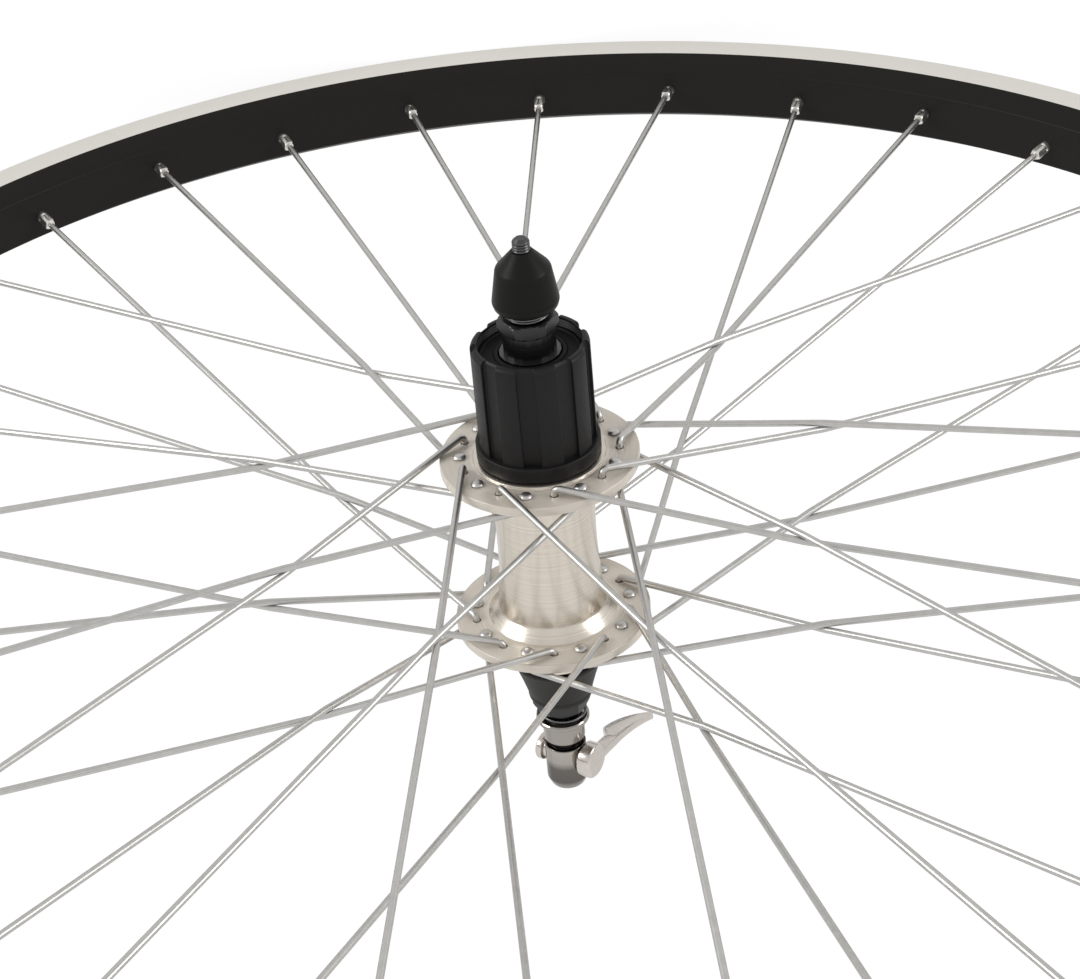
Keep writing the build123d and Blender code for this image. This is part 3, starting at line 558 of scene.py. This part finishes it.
# Rubber boot: a moulded cone that keeps dirt out of the left bearing, seated on the left spacer.
# It has a rolled lip at its mouth and a bead round its small end.
boot_rubber = finish("boot_rubber", (0.026, 0.025, 0.023), 0.0, 0.5, fine_grain, 1200, 0.1, 0.08, 0.19)
boot_bore, boot_floor, boot_end, boot_mouth, lip_radius = 7.6, -60.0, -63.2, -48.4, 13.78
boot = rounded([
    (boot_bore, boot_floor), (12.4, -48.9, 0.5), (12.6, boot_mouth, 0.2), (lip_radius, boot_mouth, 0.45),
    (13.6, -49.6, 0.4), (13.1, -49.8, 0.3), (11.2, -55.6, 8.0), (9.5, -61.4, 0.6), (9.6, -62.2, 0.4),
    (9.4, boot_end, 0.4), (boot_bore, boot_end), (boot_bore, boot_floor),
])
add_mesh("boot_visual", *turned(boot), boot_rubber, "axle", "boot_rubber", ["rubber_boot"])


# Freehub: black plated steel, with nine milled grooves for the cassette, one of them narrow, a wider base
# ring and a thread inside its mouth for the lockring. Its dust cap is pressed into the bottom of that mouth.
freehub_black = finish("freehub_black", (0.013, 0.012, 0.012), 0.0, 0.42, turned_lines, 900, 0.04, 0.08, 0.2)
grooves, groove_half, narrow_half = 9, 2.6, 1.7
land_radius, groove_floor, groove_fillet = 16.8, 15.45, 0.4
half_step = np.radians(180 / grooves)
corners = []
for k in range(grooves):
    half = narrow_half if k == 0 else groove_half
    turn = 2 * half_step * k
    along, aside = np.array([np.cos(turn), np.sin(turn)]), np.array([-np.sin(turn), np.cos(turn)])
    top = np.sqrt(land_radius**2 - half**2)
    land = turn - half_step + np.array([0, 0.3, 0.6, 0.85]) * (half_step - np.arcsin(half / land_radius))
    corners += [(land_radius * np.cos(t), land_radius * np.sin(t)) for t in land]
    for reach, across in ((top, -half), (groove_floor, -half), (groove_floor, half), (top, half)):
        corners.append((*(along * reach + aside * across), groove_fillet))
    corners += [(land_radius * np.cos(t), land_radius * np.sin(t)) for t in (2 * turn - land)[:0:-1]]
corners.append(corners[0])
outline = rounded(corners, 4)[:-1]
reach = np.hypot(*outline.T)
bearing = np.degrees(np.unwrap(np.arctan2(outline[:, 1], outline[:, 0])))
round_about = np.sort(bearing)

shell_bore, recess_floor, base_radius, base_from, base_to = 13.65, 54.6, 17.8, 23.0, 27.6
mouth_radius, mouth_edge, lockring_depth, half_pitch, thread_top = 14.7, 14.95, 0.3, 0.4, 58.4
base_chain = rounded([
    (shell_bore, recess_floor), (shell_bore, base_from, 0.2), (base_radius, base_from, 0.5),
    (base_radius, base_to, 0.5), (17.0, base_to),
])
edge_chain = (
    (0, base_to), (0, 35), (0, 50), (0, 57.4), (0.06, 57.8), (0.2, 58.2),
    (0.42, 58.54), (0.7, 58.8), (1.0, 58.95), (1.25, 59.0),
)
mouth_chain = [
    (14.75, 58.9), (mouth_radius, 58.7),
    *[(mouth_radius + lockring_depth * (k % 2), thread_top - half_pitch * k) for k in range(7)],
    (mouth_radius, 55.6), (mouth_radius, recess_floor), (shell_bore, recess_floor),
]
rows = [wheel_points(radius, round_about, side) for radius, side in base_chain]
rows += [wheel_points(np.maximum(reach - inset, mouth_edge), bearing, side) for inset, side in edge_chain]
rows += [wheel_points(radius, round_about, side) for radius, side in mouth_chain]
add_mesh("freehub_visual", *lofted(rows), freehub_black, "freehub", "freehub_black", ["freehub_shell"], 34)

cap_black = finish("cap_black", (0.009, 0.009, 0.009), 0.0, 0.5, fine_grain, 900, 0.06, 0.1, 0.1)
cap_hole, cap_radius, cap_top, cap_dip = 9.0, 14.68, 56.0, 55.6
end_cap = rounded([
    (cap_hole, recess_floor), (cap_hole, cap_top, 0.3), (10.2, cap_top, 0.2), (10.6, cap_dip, 0.2),
    (13.4, cap_dip, 0.2), (13.8, cap_top, 0.2), (cap_radius, cap_top, 0.3), (cap_radius, recess_floor),
    (cap_hole, recess_floor),
])
add_mesh("end_cap_visual", *turned(end_cap, 120), cap_black, "freehub", "cap_black", ["freehub_dust_cap"])


# Skewer: a dark plated steel rod through the hollow axle, with a rolled thread at its tip, and the
# bullet-shaped black nut that is screwed on it. Two conical springs of wire sit between the locknuts and
# the nut or the head.
skewer_steel = finish("skewer_steel", (0.09, 0.09, 0.09), 1.0, 0.34, turned_lines, 2200, 0.1)
rod_radius, rod_start, rod_end = 2.5, -83.1, 91.6
rod_depth, half_pitch, thread_from = 0.22, 0.4, 72.0
rod_thread = [(rod_radius - rod_depth * (k % 2), thread_from + half_pitch * k) for k in range(47)]
rod = [(0.0, rod_start), (rod_radius, rod_start), *rod_thread, (2.3, 90.9), (1.5, rod_end), (0.0, rod_end)]
add_mesh("rod_visual", *turned(rod, 48), skewer_steel, "skewer", "skewer_steel", ["skewer_rod"], 25)

nut_black = finish("nut_black", (0.01, 0.01, 0.009), 0.0, 0.4, turned_lines, 900, 0.03, 0.06, 0.115)
nut_bore, nut_inside, nut_face, nut_nose = 2.55, 79.0, 70.6, 87.8
nut = rounded([
    (nut_bore, nut_inside), (nut_bore, nut_face), (8.9, nut_face, 0.6), (9.45, 72.4, 1.8), (7.8, 82.5, 2.6),
    (3.0, nut_nose, 0.5), (nut_bore, nut_nose), (nut_bore, nut_inside),
], 8)
add_mesh("nut_visual", *turned(nut), nut_black, "nut", "nut_black", ["skewer_nut"])

spring_steel = finish("spring_steel", (0.16, 0.16, 0.16), 1.0, 0.3, fine_grain, 1500, 0.04)
coil_radius, coil_widening, coil_turn, spring_wire, spring_from = 5.75, 1.73, 720, 0.4, 68.05
flat_coil, share = 0.125, np.linspace(0, 1, 121)
rise = np.clip(share * (1 + 2 * flat_coil) - flat_coil, 0, 1)
springs = Parts()
for outward, spring_to in ((1, 70.05), (-1, 70.65)):
    side = outward * (spring_from + (spring_to - spring_from) * rise)
    coil = wheel_points(coil_radius + coil_widening * share, coil_turn * share, side)
    springs.add(*tube(coil, spring_wire, 10))
add_mesh("springs_visual", springs.points(), springs.faces, spring_steel, "axle", "spring_steel", ["springs"])


# Quick-release head: turned from bar and polished, with a cross bore for the cam. The rod ends in it. Its
# colour is
# painted in bands: near black over its groove as painted shade, and a painted reflection darker towards its
# closed end.
head_polish_painted_reflection = finish("head_polish_painted_reflection", None, 1.0, 0.14, turned_lines, 1200, 0.02, 0.05)
head_face, head_end, green_share, blue_share = 71.2, 97.0, 0.93, 0.86
tree = head_polish_painted_reflection.node_tree
# Painted shade and reflection along the head: near black over the groove, a pale band below it, then darker
# grey towards the closed end.
painted_reflection_bands = tree.nodes.new("ShaderNodeValToRGB")
for stop, shade in (
    (0.3, 0.36), (0.318, 0.02), (0.402, 0.02), (0.42, 0.44), (0.58, 0.4), (0.68, 0.15), (0.86, 0.13),
):
    band = painted_reflection_bands.color_ramp.elements.new(stop)
    band.color = (shade, shade * green_share, shade * blue_share, 1)
painted_reflection_bands.color_ramp.elements[0].color = (0.36, 0.335, 0.31, 1)
painted_reflection_bands.color_ramp.elements[-1].color = (0.4, 0.37, 0.345, 1)
from_face = map_range(tree, place_on(tree)["Y"], (head_face / 1000, head_end / 1000), (0, 1))
plug(tree, painted_reflection_bands.inputs["Fac"], from_face)
plug(tree, tree.nodes["Principled BSDF"].inputs["Base Color"], painted_reflection_bands.outputs["Color"])

rod_bore, neck_radius, groove_radius, groove_near, groove_far = 2.55, 6.25, 4.95, -79.4, -81.6
head = rounded([
    (0.0, rod_start), (rod_bore, rod_start), (rod_bore, -head_face), (7.6, -head_face, 0.2),
    (8.0, -71.6, 0.2), (8.0, -72.6, 0.4), (7.6, -73.0, 0.3), (neck_radius, -73.2, 0.4),
    (neck_radius, groove_near, 0.4), (groove_radius, groove_near, 0.2), (groove_radius, groove_far, 0.2),
    (neck_radius, groove_far, 0.4), (neck_radius, -94.0, 1.5), (5.0, -head_end, 1.6), (0.0, -head_end),
], 6)
add_mesh("head_visual", *turned(head, 96), head_polish_painted_reflection, "skewer", "lever_polish", ["skewer_head"])


# Lever: forged and polished, a leaf-shaped blade that sweeps outwards, a boss beside the head, and the cam
# shaft across the head with a domed cap on its far end. It turns in the head's cross bore.
arm, pivot, out = wheel_points(1.0, 234, 0.0), wheel_points(1.0, 144, 0.0), np.array([0.0, 1.0, 0.0])
cam = np.array([0.0, 86.4, 0.0])


def about_pivot(chain, steps=72):
    """A chain of (radius, along) points turned about the lever's pivot, which lies across the head."""
    turns = np.linspace(0, 2 * np.pi, steps, endpoint=False)[:, None]
    ring = np.cos(turns) * arm + np.sin(turns) * out
    return lofted([cam + pivot * along + radius * ring for radius, along in chain])


def eased(reach, start, length):
    """The share of a length that lies behind each point, from 0 at its start to 1 at its end."""
    return np.clip((reach - start) / length, 0, 1)


lever_polish = finish("lever_polish", (0.66, 0.61, 0.57), 1.0, 0.2, fine_grain, 700, 0.02, 0.05)
boss_near, boss_far, boss_radius = 6.55, 10.95, 5.5
shaft_radius, shaft_start, shaft_end = 3.2, -6.5, 6.6
lever = Parts()
lever.add(*about_pivot(rounded([
    (0.0, boss_near), (5.2, boss_near, 0.3), (boss_radius, 6.85, 0.3), (boss_radius, 10.3, 0.8),
    (4.4, boss_far, 0.8), (0.0, boss_far),
])))
shaft = [(0.0, shaft_start), (shaft_radius, shaft_start), (shaft_radius, shaft_end), (0.0, shaft_end)]
lever.add(*about_pivot(shaft, 48))

blade_reach, tip_from, tip_length, blade_steps, flatness = 36, 34.7, 1.3, 40, 0.6
blade_sweep, root_thick, thinning, dish_depth, dish_width = 8.4, 2.1, 0.9, 0.7, 0.75
outer_fall, outer_from, outer_length = 0.7, 12, 22.7
neck_from, neck_length, leaf_from, leaf_length = 11.4, 5.0, 15, 19.7
leaf_side, leaf_slope, leaf_curve, tip_thick = 3.55, 0.1, 4.0, 0.55
dish_from, dish_length, dish_side = 12, 22, -0.3
tip_reach = tip_from + tip_length * np.sin(np.linspace(0.15, 1.55, 10))
reach = np.concatenate([np.linspace(1.5, tip_from, 60), tip_reach])
outer = boss_far - outer_fall * eased(reach, outer_from, outer_length)
neck = eased(reach, neck_from, neck_length)
neck = neck * neck * (3 - 2 * neck)
far = eased(reach, leaf_from, leaf_length)
inner = boss_near + neck * (leaf_side + leaf_slope * far + leaf_curve * far**2 - boss_near)
tip = np.sqrt(1 - eased(reach, tip_from, tip_length) ** 2)
middle, blade_half = (outer + inner) / 2, (outer - inner) / 2 * tip
half_thick = (root_thick - thinning * reach / blade_reach) * (tip_thick + (1 - tip_thick) * tip)
sweep = blade_sweep * (reach / blade_reach) ** 2
turns = np.linspace(0, 2 * np.pi, blade_steps, endpoint=False)
c, s = np.cos(turns), np.sin(turns)
across, thick = np.sign(c) * np.abs(c) ** flatness, np.sign(s) * np.abs(s) ** flatness
dish_along = dish_depth * np.sin(np.pi * eased(reach, dish_from, dish_length)) ** 0.7
dish_across = np.clip(1 - (across / dish_width) ** 4, 0, 1) * (s < dish_side)
width_way = middle[:, None] + blade_half[:, None] * across
thick_way = sweep[:, None] + half_thick[:, None] * thick + dish_along[:, None] * dish_across
blade = cam + arm * reach[:, None, None] + pivot * width_way[:, :, None] + out * thick_way[:, :, None]
ends = blade[[0, -1]].mean(1, keepdims=True).repeat(blade_steps, 1)
lever.add(*lofted(np.concatenate([ends[:1], blade, ends[1:]])))
add_mesh(
    "lever_visual", lever.points(), lever.faces, lever_polish,
    "lever", "lever_polish", ["quick_release_lever"], 50,
)

cap_near, cap_far, cap_rim = -6.55, -9.15, 4.2
cap = rounded([
    (0.0, cap_far), (2.6, cap_far, 1.5), (cap_rim, -8.5, 0.7), (cap_rim, -6.8, 0.3), (3.9, cap_near),
    (0.0, cap_near),
])
add_mesh("cam_cap_visual", *about_pivot(cap), lever_polish, "lever", "lever_polish", ["cam_cap"])


# Studio: a white floor below the wheel, a white sky that gives most light from above and from the side away
# from the camera, and soft lamps at both sides of the view.
view_right = np.array([-0.9928, 0.07512, 0.09329])
view_up = np.array([-0.11415, -0.82927, -0.54707])
view_back = np.array([0.03627, -0.55378, 0.83187])


def seen_rays(tree):
    """Masks of the rays that come straight from the camera, and of those that metal or glass sends on."""
    path = tree.nodes.new("ShaderNodeLightPath").outputs
    mirrored = math_node(tree, "MAXIMUM", path["Is Glossy Ray"], path["Is Transmission Ray"])
    return path["Is Camera Ray"], mirrored


floor_half_width, floor_height = 6, -0.2856
floor_mesh = bpy.data.meshes.new("floor")
floor_corners = ((-1, -1), (1, -1), (1, 1), (-1, 1))
floor_points = [(x * floor_half_width, y * floor_half_width, floor_height) for x, y in floor_corners]
floor_mesh.from_pydata(floor_points, [], [(0, 1, 2, 3)])
floor = bpy.data.objects.new("floor", floor_mesh)
bpy.context.scene.collection.objects.link(floor)
floor_white = bpy.data.materials.new("floor_white")
floor_white.use_nodes = True
tree = floor_white.node_tree
matt = tree.nodes["Principled BSDF"]
matt.inputs["Base Color"].default_value = (0.8, 0.8, 0.8, 1)
matt.inputs["Roughness"].default_value = 0.9
mirrored_white, camera_white, white_share = 0.85, 1.12, 0.8
from_camera, mirrored = seen_rays(tree)
glow = tree.nodes.new("ShaderNodeEmission")
plug(tree, glow.inputs["Strength"], map_range(tree, from_camera, (0, 1), (mirrored_white, camera_white)))
pick = tree.nodes.new("ShaderNodeMixShader")
either = math_node(tree, "MAXIMUM", from_camera, mirrored)
plug(tree, pick.inputs["Fac"], math_node(tree, "MULTIPLY", either, white_share))
plug(tree, pick.inputs[1], matt.outputs[0])
plug(tree, pick.inputs[2], glow.outputs[0])
plug(tree, tree.nodes["Material Output"].inputs["Surface"], pick.outputs[0])
floor_mesh.materials.append(floor_white)

world = bpy.data.worlds.new("studio")
bpy.context.scene.world = world
world.use_nodes = True
tree = world.node_tree
backdrop = tree.nodes["Background"]
backdrop.inputs["Color"].default_value = (1, 1, 1, 1)
sky_way, sky_range, sky_levels, mirrored_share = (0.119, 0.547, 0.824), (-0.75, 0.8), (0.03, 0.82), 0.6
facing = tree.nodes.new("ShaderNodeVectorMath")
facing.operation = "DOT_PRODUCT"
facing.inputs[1].default_value = sky_way
plug(tree, facing.inputs[0], tree.nodes.new("ShaderNodeTexCoord").outputs["Generated"])
sky = map_range(tree, facing.outputs["Value"], sky_range, sky_levels, "SMOOTHSTEP")
from_camera, mirrored = seen_rays(tree)
white = math_node(tree, "MULTIPLY_ADD", mirrored, mirrored_share, from_camera)
plug(tree, backdrop.inputs["Strength"], mix_node(tree, "FLOAT", white, sky, 1.0))


def standing(aside, above, toward, spot):
    """A matrix that turns an object's X, Y and Z to three directions and sets it at a spot."""
    turn = np.eye(4)
    turn[:3] = np.stack([aside, above, toward, spot], 1)
    return Matrix(turn.tolist())


lamp_size, lamp_aside, lamp_above, lamp_slant = 0.6, 1.2, 0.45, (0.1, 0.2, 1.0)
for name, aside, nearer, power in (
    ("left_soft", -lamp_aside, 0.5, 7.5), ("right_soft", lamp_aside, 0.55, 6.5),
):
    spot = view_right * aside + view_back * nearer + view_up * lamp_above
    lamp = bpy.data.lights.new(name, "AREA")
    lamp.size = lamp_size
    lamp.energy = power
    holder = bpy.data.objects.new(name, lamp)
    toward = unit(spot)
    level = unit(np.cross(lamp_slant, toward))
    holder.matrix_world = standing(level, np.cross(toward, level), toward, spot)
    bpy.context.scene.collection.objects.link(holder)


# Camera: it stands above the wheel on the drive side and looks down at the hub, past it to the lower rim,
# with the drive end of the axle up in the picture.
camera_place = (0.03275, -0.49756, 0.73321)
camera = bpy.data.cameras.new("camera")
camera.sensor_fit = "HORIZONTAL"
camera.sensor_width = 36
camera.lens = 102.879
camera.clip_start = 0.01
eye = bpy.data.objects.new("camera", camera)
eye.matrix_world = standing(view_right, view_up, view_back, camera_place)
bpy.context.scene.collection.objects.link(eye)
bpy.context.scene.camera = eye
bpy.context.scene.view_settings.view_transform = "Standard"
